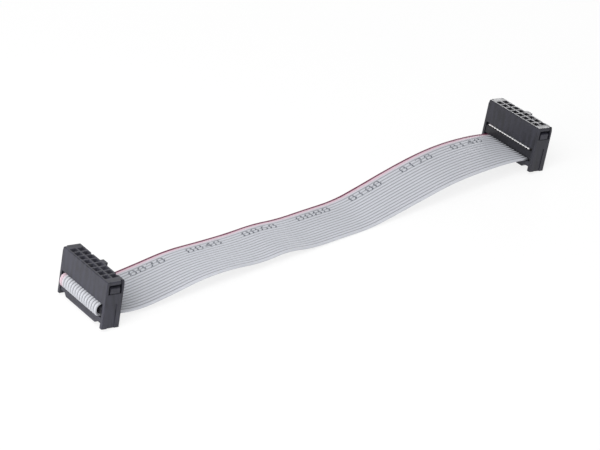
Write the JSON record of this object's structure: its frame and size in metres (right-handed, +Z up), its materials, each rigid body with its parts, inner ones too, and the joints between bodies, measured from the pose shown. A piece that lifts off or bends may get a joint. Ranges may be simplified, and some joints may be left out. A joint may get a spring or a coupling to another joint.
{
  "type": "ribbon cable",
  "caption": "Flat grey ribbon cable with a red striped edge, pressed at each end into a black pin socket that has a polarising key and a clip-on strain relief.",
  "frame": {"origin": "on the surface that both sockets stand on, in the middle of the whole length and width", "axes": "+X along the ribbon from socket a to socket b, +Y across it towards the striped way, +Z up"},
  "size_m": [0.1675, 0.025, 0.0157],
  "materials": {
    "ribbon": "satin grey flexible insulation, red on the first way",
    "housing": "satin black moulding",
    "cover": "satin black moulding",
    "relief": "satin black moulding",
    "contact": "plated spring metal"
  },
  "bodies": {
    "root": {"ribbon_cable": "ribbon", "socket_body_a": "housing", "cable_cover_a": "cover", "strain_relief_a": "relief", "socket_body_b": "housing", "cable_cover_b": "cover", "strain_relief_b": "relief", "contact_a_01": "contact", "contact_a_02": "contact", "contact_a_03": "contact", "contact_a_04": "contact", "contact_a_05": "contact", "contact_a_06": "contact", "contact_a_07": "contact", "contact_a_08": "contact", "contact_a_09": "contact", "contact_a_10": "contact", "contact_a_11": "contact", "contact_a_12": "contact", "contact_a_13": "contact", "contact_a_14": "contact", "contact_a_15": "contact", "contact_a_16": "contact", "contact_b_01": "contact", "contact_b_02": "contact", "contact_b_03": "contact", "contact_b_04": "contact", "contact_b_05": "contact", "contact_b_06": "contact", "contact_b_07": "contact", "contact_b_08": "contact", "contact_b_09": "contact", "contact_b_10": "contact", "contact_b_11": "contact", "contact_b_12": "contact", "contact_b_13": "contact", "contact_b_14": "contact", "contact_b_15": "contact", "contact_b_16": "contact"}
  },
  "joints": []
}
